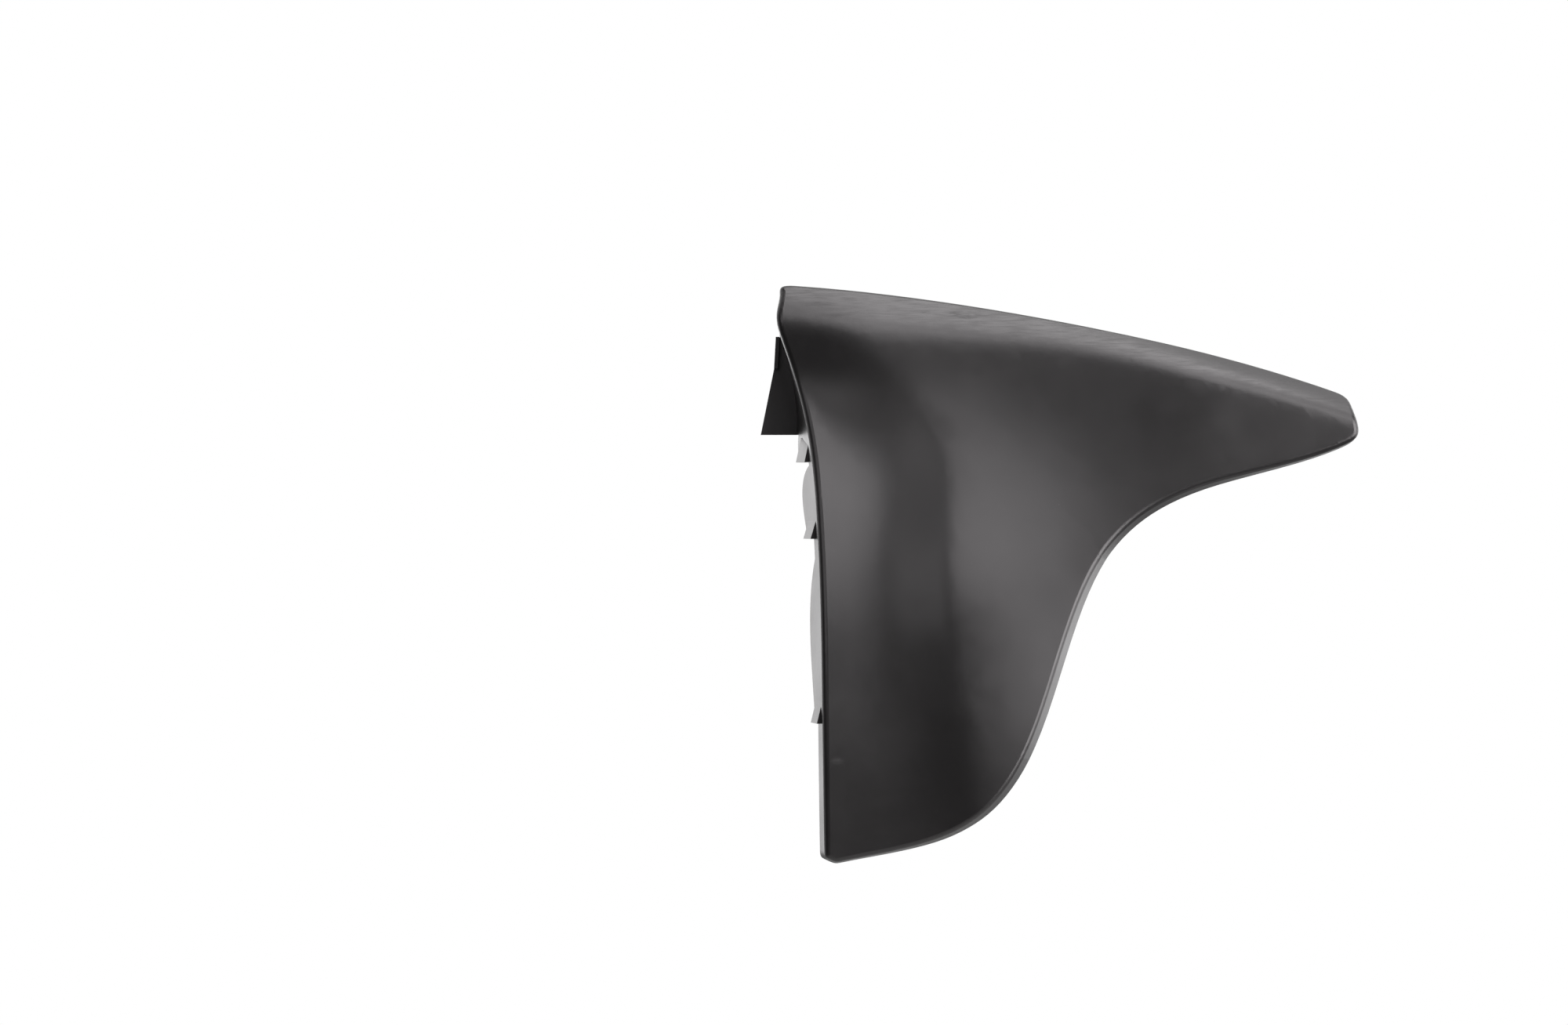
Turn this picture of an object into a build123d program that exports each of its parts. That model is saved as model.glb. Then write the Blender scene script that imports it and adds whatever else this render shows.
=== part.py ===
from build123d import *
import math
import os

# Side fairing panel of a small motorcycle: one thin moulding, hollow at the back.
# x runs from the front edge to the rear tip, y from the outer face into the bike, z up.
# Sizes are in millimetres, measured from the lower front corner of the face.

# Outline, seen square on from outside
panel_height = 395.0      # foot to the top of the front corner
panel_reach = 369.5       # front edge to the rear tip
top_drop = 79.0           # how far the top edge falls from the front to the tip
top_bow = 0.7             # share of that fall which comes from the edge's bow
tip_height = 39.5         # rear tip, top to bottom
tip_length = 14.5         # length of the rounded rear tip
tip_bends = [(0.64, 0.27), (1.0, 0.66)]  # shares of the way out and down, round the rear tip
leg_width = 195.0         # front edge to rear edge, just under the wing
leg_top = 0.52 * panel_height   # height of the inner corner between wing and leg
leg_taper = 53.5          # how much narrower the leg is at the foot
foot_height = 70.0        # height of the round rear corner of the foot
foot_length = 96.5        # front edge to the middle of that corner
foot_sweep = 21.5         # rise of the foot's edge over that length
foot_tuck = 5.5           # the front edge leans back by this much at the foot
toe_size = 9.0            # rounding of the lower front corner
rake_start = 107.0        # the front edge bends forward this far below the top
rake_slope = 0.34
rake_round = 40.0
corner_size = 10.0        # rounding of the upper front corner, along the top
corner_drop = 34.0        # and down the front edge
wing_bends = [(0.4, 0.255), (0.795, 0.58)]  # shares of the way in and down, along the edge under the wing
under_slope = 0.42        # rise of that edge at the tip
leg_slope = 0.64          # lean of the leg's rear edge at its top
heel_slope = 0.5          # and where the foot's corner begins
foot_slope = 0.2          # rise of the foot's edge at its front end

# Wall and rims
wall = 2.6
rim_radius = 4.0          # outer rounding all round the face
rim_limit = 1.6           # that rounding is at most this many walls
rim_depth = 12.0          # how far the rolled rims turn back
rim_lean = 0.45           # outward lean of the rim down the leg and round the foot
wing_lean = 0.15          # outward lean of the rim under the wing
toe_lean = 0.2            # outward lean of the rim at the lower front corner
flange_lean = 0.33        # outward lean of the front flange

# Sculpture of the face, as heights towards the outside
flare_height = 40.0       # the front stands proud of the wing by this much
flare_centre = 122.0      # the fall to the wing is steepest this far from the front
flare_level = 0.72 * panel_height   # at this height,
flare_skew = 0.16         # and further back the lower down
flare_length = 46.0
crown_height = 150.0      # the leg bulges most at this height
crown_radius = 800.0
neck_drop = 38.0          # the face falls back by this much under the shoulder
leg_fade = 230.0          # the leg's bulge fades out over this length
leg_hold = 42.0           # and is full up to here
shoulder_width = 27.0     # the roll along the top edge, at the front
shoulder_drop = 17.0
tip_shoulder_width = 16.0
tip_shoulder_drop = 17.0
shoulder_soften = 0.3     # how softly the roll begins, as a share of its width
shoulder_power = 1.4
scoop_width = 84.0        # front edge to the crest
scoop_spread = 20.0       # the crest moves back by this much towards the foot
scoop_radius = 110.0      # bend of the crest under the shoulder
scoop_slope = 0.42        # fall from the crest into the scoop
bend_ease = 0.5           # share of that fall which is lost in the middle of the bend
bend_length = 60.0
floor_height = 26.0       # height of the scoop's floor at its own crown
floor_crown = 90.0
floor_radius = 520.0
floor_lip = 10.0          # the floor rises again to the front edge
crest_round = 8.0
fold_round = 8.0

# Front flange: hooked tabs that reach further back than the rims, from the top down
tab_spans = [(0.743, 0.690), (0.688, 0.557), (0.544, 0.242), (0.204, 0.038)]  # shares of the panel's height
tab_depths = [35.0, 29.0, 24.0, 13.5]
tab_swell = (0.3, 0.75)   # a tab is at its deepest between these shares of its length
tab_end = 0.85            # share of that depth left at its lower end
barb_height = 3.0         # how far a hook stands out from its tab
barb_length = 17.0
barb_start = 0.35         # a hook begins at this share of the tab's depth
lug_drops = (35.0, 57.0, 103.0)  # triangular lug: its top, waist and foot, below the panel's top
lug_reaches = (3.0, 11.5, 33.5)  # how far it stands out of the front edge there
lug_depth = 38.0          # how far behind the face it lies
lug_rib_height = 6.0

# Fixings on the back, as places on the face
upper_boss_at = (96.0, panel_height - 70.0)
lower_boss_at = (62.0, 49.0)
peg_at = (300.0, panel_height - 94.0)
post_radius = 5.0
post_length = 26.0
gusset_thickness = 1.6
gusset_reach = 14.0
gusset_drop = 6.0         # the gussets stop this far below the end of a post
screw_hole_radius = 2.1
screw_hole_depth = 14.0
peg_radius = 4.0
peg_length = 14.0
peg_chamfer = 1.5

# How finely the curved forms are laid out
fine_step = 9.0           # distance between the face's sections and points, where its form is tight
wide_step = 24.0          # and where it is gentle
outline_step = 25.0       # distance between the points that the walls are lofted through
crest_reach = 3.0         # the tight part goes on past the crest by this many of its roundings
least_spans = 3           # fewest spans that a piece of the outline is lofted over
end_share = 0.01          # share of a span that gives the direction at a piece's end
slope_step = 0.5          # distance to each side over which the face's slope is taken
margin = 30.0             # how far the cutting forms reach past the panel
back_depth = 75.0         # deeper than any wall of the panel


def ease(t):
    t = min(max(t, 0.0), 1.0)
    return t * t * (3 - 2 * t)


def soft_positive(t, radius):
    return 0.5 * (t + math.hypot(t, radius))


def soft_min(a, b, radius):
    return 0.5 * (a + b - math.hypot(a - b, radius))


def mix(a, b, t):
    return a + (b - a) * t


def front_edge(z):
    """Place of the face's front edge at a height."""
    bend = panel_height - rake_start
    return foot_tuck * (1 - z / bend) - rake_slope * soft_positive(z - bend, rake_round)


rake_foot = panel_height - rake_start - rake_round
front_corner = panel_height - corner_drop
front_reach = -front_edge(front_corner)


def top_edge(x):
    """Height of the panel's top edge."""
    t = max(x + front_reach, 0.0) / (panel_reach + front_reach)
    return panel_height - top_drop * t * mix(1, t, top_bow)


def main_face(x, z):
    """Height of the face without its scoop."""
    steepest = flare_centre + flare_skew * (flare_level - z)
    flare = flare_height / (1 + math.exp((x - steepest) / flare_length))
    neck = panel_height - 2 * shoulder_width
    if z > crown_height:
        rise = min((z - crown_height) / (neck - crown_height), 1.0)
        crown = -0.5 * neck_drop * (1 - math.cos(math.pi * rise))
    else:
        crown = -((z - crown_height) ** 2) / (2 * crown_radius)
    leg = 1 - ease((x - leg_hold) / leg_fade)
    along = ease((x + front_reach) / panel_reach)
    width = mix(shoulder_width, tip_shoulder_width, along)
    drop = mix(shoulder_drop, tip_shoulder_drop, along)
    roll = drop * soft_positive(1 - (top_edge(x) - z) / width, shoulder_soften) ** shoulder_power
    return flare + crown * leg - roll


def scoop_fall(x, z):
    """How far the scoop's slope has fallen from the crest line, which bends forward under the shoulder."""
    behind = scoop_width + scoop_spread * ease(1 - z / leg_top) - x
    below = top_edge(x) - shoulder_width - z
    inside = min(behind, below)
    if behind < scoop_radius and below < scoop_radius:
        inside = scoop_radius - math.hypot(scoop_radius - behind, scoop_radius - below)
    gentle = 1 - bend_ease * math.exp(-((behind - below) / bend_length) ** 2)
    return scoop_slope * gentle * soft_positive(inside, crest_round)


def scoop_floor(x, z):
    """Height of the scoop's floor, a long bow that rises a little to the front edge."""
    lip = floor_lip * (max(scoop_width - x, 0.0) / scoop_width) ** 2
    return floor_height + lip - (z - floor_crown) ** 2 / (2 * floor_radius)


def face_height(x, z):
    """Height of the outer face: the main face, with the scoop's slope and floor let into it."""
    face = main_face(x, z)
    recess = soft_positive(face - scoop_floor(x, z), crest_round)
    return face - soft_min(scoop_fall(x, z), recess, fold_round)


def inner_height(x, z, inset):
    """Height of the face after it is moved inwards, square to itself."""
    step = slope_step
    along_x = (face_height(x + step, z) - face_height(x - step, z)) / (2 * step)
    along_z = (face_height(x, z + step) - face_height(x, z - step)) / (2 * step)
    return face_height(x, z) - inset * math.sqrt(1 + along_x**2 + along_z**2)


def stations(start, end, step):
    count = math.ceil((end - start) / step)
    return [mix(start, end, i / count) for i in range(count)]


def face_surface(inset):
    """The face, lofted through upright sections whose points keep in line with the top edge."""
    lowest, highest = -margin, panel_height + margin
    rows = stations(lowest, leg_top, wide_step) + stations(leg_top, highest, fine_step) + [highest]
    shares = [(z - lowest) / (highest - lowest) for z in rows]
    front, rear = -front_reach - 2 * margin, panel_reach + margin
    scoop_end = scoop_width + scoop_spread + crest_reach * crest_round
    columns = stations(front, scoop_end, fine_step) + stations(scoop_end, rear, wide_step) + [rear]
    sections = []
    for x in columns:
        levels = [mix(lowest, top_edge(x) + margin, share) for share in shares]
        points = [Vector(x, -inner_height(x, z, inset), z) for z in levels]
        sections.append(Wire([Edge.make_spline(points, parameters=shares)]))
    return Shell.make_loft(sections).faces()[0]


def edge_depth(z):
    """Depth of the scoop's floor at the front edge, where the flange starts."""
    return -scoop_floor(front_edge(z), z)


def flange_x(y, z):
    """Place of the front flange's outer side at a depth and a height."""
    lean = flange_lean * ease((front_corner - z) / (front_corner - rake_foot))
    return front_edge(z) - lean * (y - edge_depth(z))


def curve(points, start_run, end_run):
    """A smooth piece of the outline, with its direction at both ends."""
    ends = [Vector(run[0], 0, run[1]) for run in (start_run, end_run)]
    return Edge.make_spline([Vector(x, 0, z) for x, z in points], tangents=ends)


def outline():
    """The outline, clockwise from the front of the top edge. Each piece comes with two pairs, for its start
    and its end: how far its wall leans outwards, and whether it is a rim (0) or the front flange (1)."""
    tip_x = panel_reach - tip_length
    tip_low = top_edge(tip_x) - tip_height
    foot_x = leg_width - leg_taper
    top_x = corner_size - front_reach
    slope = top_drop / panel_reach
    top_run = (1, slope * (top_bow - 1))
    rear_run = (1, -slope * (1 + top_bow))
    low_run = (-1, -under_slope)
    leg_run = (-leg_slope, -1)
    heel_run = (-heel_slope, -1)
    foot_run = (-1, -foot_slope)
    front_run, rake_run, corner_run = [
        (front_edge(z + 1) - front_edge(z), 1) for z in (toe_size, rake_foot, front_corner)]

    def along_front(low, high):
        return [(front_edge(z), z) for z in (low, (low + high) / 2, high)]

    top_places = (top_x, mix(top_x, tip_x, 1 / 3), mix(top_x, tip_x, 2 / 3), tip_x)
    top_points = [(x, top_edge(x)) for x in top_places]
    tip_points = [
        (tip_x + tip_length * outwards, top_edge(tip_x) - tip_height * down)
        for outwards, down in [(0, 0), *tip_bends, (0, 1)]]
    wing_points = [
        (mix(tip_x, leg_width, inwards), mix(tip_low, leg_top, down))
        for inwards, down in [(0, 0), *wing_bends, (1, 1)]]
    leg_points = [wing_points[-1], (foot_x, foot_height)]
    foot_points = [leg_points[-1], (foot_length, foot_sweep), (foot_tuck + toe_size, 0)]
    front_points = along_front(toe_size, rake_foot)
    rake_points = along_front(rake_foot, front_corner)
    return [
        (curve(top_points, top_run, rear_run), (0, 0), (0, 0)),
        (curve(tip_points, rear_run, low_run), (0, wing_lean), (0, 0)),
        (curve(wing_points, low_run, leg_run), (wing_lean, rim_lean), (0, 0)),
        (curve(leg_points, leg_run, heel_run), (rim_lean, rim_lean), (0, 0)),
        (curve(foot_points, heel_run, foot_run), (rim_lean, toe_lean), (0, 0)),
        (curve([foot_points[-1], front_points[0]], foot_run, front_run), (toe_lean, flange_lean), (0, 1)),
        (curve(front_points, front_run, rake_run), (flange_lean, flange_lean), (1, 1)),
        (curve(rake_points, rake_run, corner_run), (flange_lean, 0), (1, 1)),
        (curve([rake_points[-1], top_points[0]], corner_run, top_run), (0, 0), (1, 0)),
    ]


front_plane = -flare_height - margin


def wall_places(piece, leans, kinds, inset, along):
    """Where one wall passes well in front of the face, near it, and behind, taken inwards by an inset."""
    place, run = piece.position_at(along), piece.tangent_at(along)
    outwards = Vector(-run.Z, 0, run.X)
    lean = mix(*leans, ease(along))
    face_y = -face_height(place.X, place.Z)
    start_y = mix(face_y + rim_depth, -scoop_floor(place.X, place.Z), mix(*kinds, ease(along)))
    near_y = face_y - rim_radius
    near = place + outwards * (lean * (near_y - start_y) - inset)
    rear = place + outwards * (lean * (back_depth - start_y) - inset)
    return [near + Vector(0, front_plane, 0), near + Vector(0, near_y, 0), rear + Vector(0, back_depth, 0)]


def wall_wires(inset):
    """Three lines round the walls, at the places that wall_places gives."""
    rings = [[], [], []]
    for wall_piece in outline():
        count = max(round(wall_piece[0].length / outline_step), least_spans)
        shares = [i / count for i in range(count + 1)]
        nudge = end_share / count
        lines = zip(*[wall_places(*wall_piece, inset, along) for along in shares])
        starts = wall_places(*wall_piece, inset, nudge)
        ends = wall_places(*wall_piece, inset, 1 - nudge)
        for ring, line, start, end in zip(rings, lines, starts, ends):
            runs = [start - line[0], line[-1] - end]
            ring.append(Edge.make_spline(line, tangents=runs, parameters=shares))
    return [Wire(ring) for ring in rings]


def body(inset):
    """The panel's outer form as a block, taken inwards by an inset."""
    block = Solid.make_loft(wall_wires(inset), ruled=True)
    return block.cut(Solid.extrude(face_surface(inset), Vector(0, 2 * front_plane, 0))).solids()[0]


def prism(points, direction):
    profile = Wire.make_polygon([Vector(*p) for p in points], close=True)
    return Solid.extrude(Face(profile), Vector(*direction))


def tab_block(top, bottom, depth):
    """The room that a hooked tab takes behind the rims: it swells from the top and ends square below."""
    def point(share, reach):
        z = mix(top, bottom, share)
        return Vector(-front_reach - 2 * margin, edge_depth(z) + reach, z)

    rear = [point(0, rim_depth / 2), *[point(share, depth) for share in tab_swell], point(1, tab_end * depth)]
    front = [point(1, 0), point(0, 0)]
    sides = [Edge.make_line(*pair) for pair in ((rear[-1], front[0]), front, (front[1], rear[0]))]
    profile = Face(Wire([Edge.make_spline(rear)] + sides))
    return Solid.extrude(profile, Vector(front_reach + foot_tuck + 3 * margin, 0, 0))


def barb(bottom, depth):
    """The hook on the lower end of a tab: a wedge that stands out of the flange, lying along its lean."""
    top = bottom + barb_length
    y = edge_depth(bottom) + barb_start * depth
    length = (tab_end - barb_start) * depth
    root = [(flange_x(y, z) + wall / 2, y, z) for z in (top, bottom)]
    return prism(root + [(flange_x(y, bottom) - barb_height, y, bottom)], (-flange_lean * length, length, 0))


def post(x, z):
    """A post on the back of the face with crossed gussets, made long enough to be trimmed by the face."""
    start = -face_height(x, z)
    end = start + post_length
    profile = [(-post_radius - gusset_reach, start), (-post_radius / 2, end - gusset_drop),
               (post_radius / 2, end - gusset_drop), (post_radius + gusset_reach, start)]
    half = gusset_thickness / 2
    flat = prism([(x + r, y, z - half) for r, y in profile], (0, 0, gusset_thickness))
    upright = prism([(x - half, y, z + r) for r, y in profile], (gusset_thickness, 0, 0))
    core = Solid.make_cylinder(post_radius, post_length, Plane((x, start, z), z_dir=(0, 1, 0)))
    return core.fuse(flat, upright)


def post_end(x, z):
    return Plane((x, post_length - face_height(x, z), z), z_dir=(0, 1, 0))


# Shell: the outer form with its rounded rim, less the same form one wall further in
outer = body(0)
face = outer.faces().sort_by(Axis.Y)[0]
outer = outer.fillet(min(rim_radius, rim_limit * wall), face.edges())
shell = outer.cut(body(wall))

# Rims and tabs: the walls are cut off behind the face, apart from the tabs and the lug's stem
lug_heights = [panel_height - drop for drop in lug_drops]
lug_low = lug_heights[-1]
lug_y = edge_depth(lug_low) + lug_depth
stem_rear = lug_y + wall
stem_span = [
    (front_plane, front_corner), (stem_rear, front_corner), (stem_rear, lug_low), (front_plane, lug_low)]
stem = prism([(-front_reach - 2 * margin, y, z) for y, z in stem_span], (front_reach + 2 * margin, 0, 0))
tab_ends = [(panel_height * top, panel_height * bottom) for top, bottom in tab_spans]
tabs = [tab_block(*ends, depth) for ends, depth in zip(tab_ends, tab_depths)]
behind = Solid.extrude(face_surface(0).moved(Location((0, rim_depth, 0))), Vector(0, 2 * back_depth, 0))
shell = shell.cut(behind.cut(stem, *tabs))

# Hooks on the upper three tabs, and the lug with the rib along its upper edge
barbs = [barb(bottom, depth) for (top, bottom), depth in zip(tab_ends[:3], tab_depths)]
lug_edge = [(front_edge(z) - reach, z) for z, reach in zip(lug_heights, lug_reaches)]
root_heights = stations(lug_low, lug_heights[0], fine_step) + lug_heights[:1]
lug_root = [(flange_x(lug_y, z) + wall / 2, z) for z in root_heights]
lug = prism([(x, lug_y, z) for x, z in lug_edge + lug_root], (0, wall, 0))
rib_profile = lug_edge[:2] + [(x + wall, z) for x, z in reversed(lug_edge[:2])]
rib = prism([(x, lug_y - lug_rib_height, z) for x, z in rib_profile], (0, lug_rib_height + wall, 0))

# Posts on the back: two screw bosses and a peg for a rubber grommet
anchor = body(wall / 2)
places = (upper_boss_at, lower_boss_at, peg_at)
posts = [solid for place in places for solid in anchor.intersect(post(*place)).solids()]
peg = Solid.make_cylinder(peg_radius, peg_length, post_end(*peg_at))
peg = peg.chamfer(peg_chamfer, None, peg.faces().sort_by(Axis.Y)[-1].edges())
screw_holes = [
    Solid.make_cylinder(screw_hole_radius, screw_hole_depth, post_end(*place).offset(-screw_hole_depth))
    for place in (upper_boss_at, lower_boss_at)]
panel = shell.fuse(*barbs, lug, rib, peg, *posts).cut(*screw_holes)

# The frame's origin is the mouth of the upper boss
panel = panel.moved(Location(-post_end(*upper_boss_at).origin))

os.makedirs("parts", exist_ok=True)
export_step(panel.solids()[0], "parts/fairing_panel.step")
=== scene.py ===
import math

import bpy
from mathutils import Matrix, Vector


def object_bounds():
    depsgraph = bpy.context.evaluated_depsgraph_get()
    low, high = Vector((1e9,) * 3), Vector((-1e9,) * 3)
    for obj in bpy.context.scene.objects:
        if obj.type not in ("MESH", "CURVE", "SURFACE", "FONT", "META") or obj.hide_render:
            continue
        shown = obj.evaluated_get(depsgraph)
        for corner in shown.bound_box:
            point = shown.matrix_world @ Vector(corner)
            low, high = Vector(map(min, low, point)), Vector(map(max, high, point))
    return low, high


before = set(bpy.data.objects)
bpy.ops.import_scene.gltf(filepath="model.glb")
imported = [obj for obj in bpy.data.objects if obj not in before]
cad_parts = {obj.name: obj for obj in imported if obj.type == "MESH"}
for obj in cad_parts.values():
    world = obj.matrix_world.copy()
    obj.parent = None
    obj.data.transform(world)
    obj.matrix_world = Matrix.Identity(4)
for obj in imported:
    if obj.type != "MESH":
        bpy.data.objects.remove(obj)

cad_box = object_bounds()

# Camera: square on to the panel's face, with the panel right of the middle of the picture
eye = Vector((-0.1209, -2.0534, -0.0870))
ahead = Vector((0.0, 1.0, 0.0))
lens_length = 67.92
sensor_width = 36.0

# Stage: a round sheet of pale paper below the panel, which fades out between two distances
floor_gap = 0.30
floor_radius = 0.8
floor_points = 96
floor_colour = (0.62, 0.62, 0.61, 1.0)
floor_fade = (0.25, 0.70)
white = (1.0, 1.0, 1.0, 1.0)

# Studio light: soft boxes round the panel's middle, as
# (azimuth, elevation, distance, width, height, radiance).
# Azimuth 0 is the camera's side, and 90 is the side of the panel's rear tip.
boxes = {
    "right_box": (50.0, 4.0, 3.0, 1.9, 2.9, 6.4),
    "side_box": (86.0, 0.0, 3.0, 1.6, 2.4, 2.0),
    "rear_box": (126.0, 4.0, 3.0, 2.2, 2.6, 1.5),
    "upper_box": (21.0, 32.0, 3.0, 1.4, 1.4, 2.5),
    "high_box": (26.0, 53.0, 3.0, 1.7, 1.3, 2.6),
    "left_box": (-25.0, 20.0, 3.0, 1.6, 1.8, 1.1),
    "top_box": (58.0, 78.0, 1.6, 0.9, 1.1, 3.6),
    "tip_box": (90.0, 60.0, 3.0, 1.8, 1.4, 1.2),
    "flange_box": (-143.0, 3.0, 2.4, 1.2, 1.6, 2.0),
}

# The room as glossy rays see it: its levels in front and behind, then below and above, with the
# y or z of a ray's direction between which each changes. Diffuse rays get the ambient level.
room_depth_levels = (0.05, 1.0)
room_depth_limits = (-0.25, 0.35)
room_height_levels = (0.2, 1.0)
room_height_limits = (-0.6, -0.1)
room_ambient = 0.10

# Masks go between these as their input crosses their limits
rising = (0.0, 1.0)
falling = (1.0, 0.0)

# Each noise below is (scale, detail, roughness), with its distortion last where it has any.

# Plastic: a dark satin moulding with a cloudy base colour
plastic_dark = (0.0092, 0.0085, 0.0088, 1.0)
plastic_light = (0.0120, 0.0111, 0.0114, 1.0)
cloud_noise = (14.0, 5.0, 0.55)
cloud_limits = (0.35, 0.7)
gloss_level = 0.72
gloss_tint = (1.0, 0.962, 0.98, 1.0)

# Sharp edges, found by how far a rounded normal leaves the true one, and worn in patches
worn_colour = (0.0240, 0.0225, 0.0225, 1.0)
edge_width = 0.0012
edge_samples = 6
edge_limits = (0.93, 0.995)
wear_noise = (45.0, 5.0, 0.6)
wear_limits = (0.40, 0.62)
wear_levels = (0.1, 0.8)

# Dust: one speck in each cell of a scatter, in a few of the cells
dust_colour = (0.0700, 0.0640, 0.0600, 1.0)
dust_scale = 75.0
speck_limits = (0.018, 0.030)
dusty_limits = (0.84, 0.90)
dusty_levels = (0.0, 0.7)

# Roughness: uneven from handling, and higher on the inner side
handling_noise = (22.0, 6.0, 0.6, 0.4)
handling_limits = (0.3, 0.75)
satin_roughness = (0.325, 0.375)
inner_roughness = 0.12
inner_limits = (0.1, 0.5)

# Wipe marks along the upward surfaces
wipe_noise = (60.0, 5.0, 0.65)
wipe_squeeze = (1.0, 1.0, 14.0)
wipe_limits = (0.35, 0.65)
wipe_roughness = (-0.06, 0.10)
upward_limits = (0.2, 0.6)

# Smudges on the outer face, as (x, z, length, height, how much rougher), broken up by streaks
smudges = [
    (0.003, 0.0495, 0.034, 0.0080, 0.22),
    (-0.022, 0.0510, 0.018, 0.0045, 0.14),
    (-0.102, 0.0560, 0.036, 0.0070, 0.16),
    (-0.088, 0.0480, 0.030, 0.0040, 0.12),
    (-0.085, -0.2540, 0.012, 0.0070, 0.14),
    (0.052, -0.1000, 0.050, 0.0400, 0.05),
]
smudge_limits = (0.2, 1.0)
outer_limits = (-0.2, 0.0)
streak_noise = (160.0, 4.0, 0.6)
streak_squeeze = (1.0, 1.0, 5.0)
streak_limits = (0.35, 0.65)
streak_levels = (0.25, 1.0)

# Bump: a faint ripple from the moulding, with a fine grain on it
ripple_noise = (70.0, 1.0, 0.4)
ripple_strength = 0.5
ripple_depth = 0.00003
grain_noise = (1500.0, 2.0, 0.5)
grain_strength = 0.25
grain_depth = 0.00005


def lookat(thing, target):
    thing.rotation_euler = (Vector(target) - thing.location).to_track_quat("-Z", "Y").to_euler()


def towards(azimuth, elevation):
    turn, lift = math.radians(azimuth), math.radians(elevation)
    level = math.cos(lift)
    return Vector((math.sin(turn) * level, -math.cos(turn) * level, math.sin(lift)))


def fill(tree, sockets, values):
    """Links the values that are sockets, and sets those that are numbers or colours."""
    for socket, value in zip(sockets, values):
        if isinstance(value, bpy.types.NodeSocket):
            tree.links.new(value, socket)
        else:
            socket.default_value = value


def add_node(tree, kind, sockets=(), **settings):
    made = tree.nodes.new(kind)
    for name, value in settings.items():
        setattr(made, name, value)
    values = dict(sockets)
    fill(tree, [made.inputs[name] for name in values], values.values())
    return made


def result(tree, kind, values, **settings):
    """The one result of a node that takes its values in order."""
    made = add_node(tree, kind, **settings)
    fill(tree, [socket for socket in made.inputs if socket.enabled], values)
    return next(socket for socket in made.outputs if socket.enabled)


def math_node(tree, operation, *values):
    return result(tree, "ShaderNodeMath", values, operation=operation)


def vector_node(tree, operation, *values):
    return result(tree, "ShaderNodeVectorMath", values, operation=operation)


def mix(tree, data_type, *values):
    return result(tree, "ShaderNodeMix", values, data_type=data_type)


def noise(tree, place, scale, detail, roughness, distortion=0.0):
    made = add_node(tree, "ShaderNodeTexNoise", {
        "Vector": place, "Scale": scale, "Detail": detail,
        "Roughness": roughness, "Distortion": distortion,
    })
    return made.outputs["Fac"]


def spread(tree, value, limits, levels=rising):
    """Goes smoothly from the first level to the second while the value crosses the limits."""
    made = add_node(tree, "ShaderNodeMapRange", {
        "Value": value, "From Min": limits[0], "From Max": limits[1],
        "To Min": levels[0], "To Max": levels[1],
    }, interpolation_type="SMOOTHSTEP")
    return made.outputs["Result"]


def worn_edges(tree, place, normal):
    """The sharp outer edges, where handling has polished the grain away in places."""
    rounded = add_node(tree, "ShaderNodeBevel", {"Radius": edge_width}, samples=edge_samples)
    alike = vector_node(tree, "DOT_PRODUCT", rounded.outputs["Normal"], normal)
    edge = spread(tree, alike, edge_limits, falling)
    patchy = spread(tree, noise(tree, place, *wear_noise), wear_limits, wear_levels)
    return math_node(tree, "MULTIPLY", edge, patchy)


def dust(tree, place):
    """A few fine specks, one in every few cells of a coarse scatter."""
    cells = add_node(tree, "ShaderNodeTexVoronoi", {"Vector": place, "Scale": dust_scale}, feature="F1")
    speck = spread(tree, cells.outputs["Distance"], speck_limits, falling)
    chance = add_node(tree, "ShaderNodeSeparateColor", {"Color": cells.outputs["Color"]})
    dusty = spread(tree, chance.outputs["Red"], dusty_limits, dusty_levels)
    return math_node(tree, "MULTIPLY", speck, dusty)


def wipe_marks(tree, place, upward):
    squeezed = vector_node(tree, "MULTIPLY", place, wipe_squeeze)
    wiped = spread(tree, noise(tree, squeezed, *wipe_noise), wipe_limits, wipe_roughness)
    return math_node(tree, "MULTIPLY", wiped, spread(tree, upward, upward_limits))


def smudge_patch(tree, place, x, z, length, height):
    """A soft oval patch on the face, which ends half its length and height from its middle."""
    offset = vector_node(tree, "SUBTRACT", place, (x, 0.0, z))
    scaled = vector_node(tree, "MULTIPLY", offset, (2 / length, 0.0, 2 / height))
    return spread(tree, vector_node(tree, "LENGTH", scaled), smudge_limits, falling)


def smudge_marks(tree, place, backward):
    marks = 0.0
    for x, z, length, height, rougher in smudges:
        patch = smudge_patch(tree, place, x, z, length, height)
        marks = math_node(tree, "MULTIPLY_ADD", patch, rougher, marks)
    squeezed = vector_node(tree, "MULTIPLY", place, streak_squeeze)
    streaks = spread(tree, noise(tree, squeezed, *streak_noise), streak_limits, streak_levels)
    marks = math_node(tree, "MULTIPLY", marks, streaks)
    return math_node(tree, "MULTIPLY", marks, spread(tree, backward, outer_limits, falling))


def plastic_colour(tree, place, normal):
    cloud = spread(tree, noise(tree, place, *cloud_noise), cloud_limits)
    colour = mix(tree, "RGBA", cloud, plastic_dark, plastic_light)
    colour = mix(tree, "RGBA", worn_edges(tree, place, normal), colour, worn_colour)
    return mix(tree, "RGBA", dust(tree, place), colour, dust_colour)


def plastic_roughness(tree, place, normal):
    facing = add_node(tree, "ShaderNodeSeparateXYZ", {0: normal})
    backward, upward = facing.outputs["Y"], facing.outputs["Z"]
    inside = spread(tree, backward, inner_limits)
    roughness = spread(tree, noise(tree, place, *handling_noise), handling_limits, satin_roughness)
    roughness = math_node(tree, "ADD", roughness, wipe_marks(tree, place, upward))
    roughness = math_node(tree, "ADD", roughness, smudge_marks(tree, place, backward))
    return math_node(tree, "MULTIPLY_ADD", inside, inner_roughness, roughness)


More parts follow.
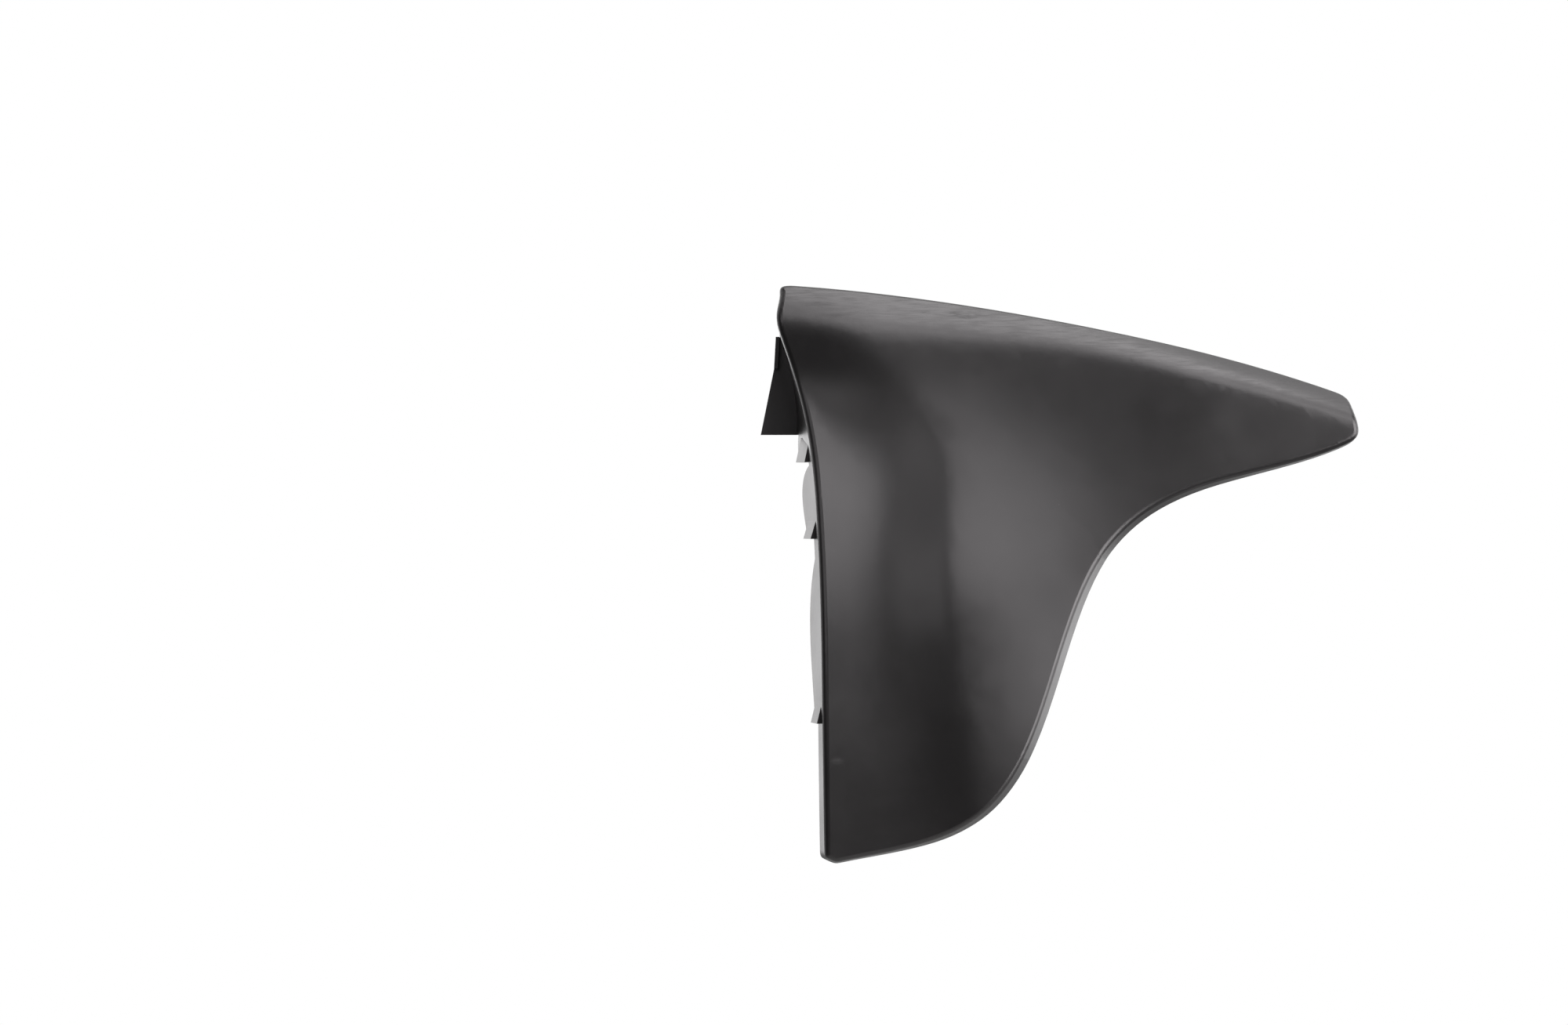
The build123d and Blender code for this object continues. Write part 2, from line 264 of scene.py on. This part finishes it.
def plastic_bump(tree, place):
    ripple = add_node(tree, "ShaderNodeBump", {
        "Strength": ripple_strength, "Distance": ripple_depth,
        "Height": noise(tree, place, *ripple_noise),
    })
    grain = add_node(tree, "ShaderNodeBump", {
        "Strength": grain_strength, "Distance": grain_depth,
        "Height": noise(tree, place, *grain_noise), "Normal": ripple.outputs["Normal"],
    })
    return grain.outputs["Normal"]


def black_plastic():
    material = bpy.data.materials.new("black_plastic")
    material.use_nodes = True
    tree = material.node_tree
    shader = tree.nodes["Principled BSDF"]
    shader.inputs["Specular IOR Level"].default_value = gloss_level
    shader.inputs["Specular Tint"].default_value = gloss_tint
    place = tree.nodes.new("ShaderNodeTexCoord").outputs["Object"]
    normal = tree.nodes.new("ShaderNodeNewGeometry").outputs["Normal"]
    tree.links.new(plastic_colour(tree, place, normal), shader.inputs["Base Color"])
    tree.links.new(plastic_roughness(tree, place, normal), shader.inputs["Roughness"])
    tree.links.new(plastic_bump(tree, place), shader.inputs["Normal"])
    return material


def floor_material():
    """Pale paper that fades out towards its rim."""
    material = bpy.data.materials.new("floor")
    material.use_nodes = True
    tree = material.node_tree
    tree.nodes.clear()
    place = tree.nodes.new("ShaderNodeTexCoord").outputs["Object"]
    fade = spread(tree, vector_node(tree, "LENGTH", place), floor_fade)
    paper = add_node(tree, "ShaderNodeBsdfDiffuse", {"Color": floor_colour})
    gone = add_node(tree, "ShaderNodeBsdfTransparent", {"Color": white})
    both = add_node(tree, "ShaderNodeMixShader", {0: fade, 1: paper.outputs[0], 2: gone.outputs[0]})
    add_node(tree, "ShaderNodeOutputMaterial", {"Surface": both.outputs[0]})
    return material


def make_floor():
    low, high = cad_box
    bpy.ops.mesh.primitive_circle_add(vertices=floor_points, radius=floor_radius, fill_type="NGON")
    floor = bpy.context.object
    floor.name = "floor"
    floor.location = ((low.x + high.x) / 2, 0.0, low.z - floor_gap)
    floor.data.materials.append(floor_material())


def make_boxes():
    low, high = cad_box
    middle = (low + high) / 2
    for name, (azimuth, elevation, distance, width, height, radiance) in boxes.items():
        data = bpy.data.lights.new(name, "AREA")
        data.shape = "RECTANGLE"
        data.size = width
        data.size_y = height
        data.energy = radiance * math.pi * width * height
        box = bpy.data.objects.new(name, data)
        bpy.context.scene.collection.objects.link(box)
        box.location = middle + distance * towards(azimuth, elevation)
        lookat(box, middle)
        box.visible_camera = False


def make_world():
    """A room for glossy rays, a dim ambient light, and plain white straight from the camera."""
    world = bpy.data.worlds.new("studio")
    bpy.context.scene.world = world
    world.use_nodes = True
    tree = world.node_tree
    tree.nodes.clear()
    direction = tree.nodes.new("ShaderNodeTexCoord").outputs["Generated"]
    axes = add_node(tree, "ShaderNodeSeparateXYZ", {0: direction})
    depth = spread(tree, axes.outputs["Y"], room_depth_limits, room_depth_levels)
    height = spread(tree, axes.outputs["Z"], room_height_limits, room_height_levels)
    room = math_node(tree, "MULTIPLY", depth, height)
    rays = tree.nodes.new("ShaderNodeLightPath").outputs
    light = mix(tree, "FLOAT", rays["Is Glossy Ray"], room_ambient, room)
    straight = math_node(tree, "MAXIMUM", rays["Is Camera Ray"], rays["Is Transmission Ray"])
    strength = math_node(tree, "MAXIMUM", light, straight)
    sky = add_node(tree, "ShaderNodeBackground", {"Color": white, "Strength": strength})
    add_node(tree, "ShaderNodeOutputWorld", {"Surface": sky.outputs[0]})


def make_camera():
    data = bpy.data.cameras.new("camera")
    data.lens = lens_length
    data.sensor_width = sensor_width
    camera = bpy.data.objects.new("camera", data)
    bpy.context.scene.collection.objects.link(camera)
    camera.location = eye
    lookat(camera, eye + ahead)
    bpy.context.scene.camera = camera


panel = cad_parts["fairing_panel"]
panel.data.materials.clear()
panel.data.materials.append(black_plastic())

make_floor()
make_boxes()
make_world()
make_camera()
bpy.context.scene.view_settings.view_transform = "Standard"
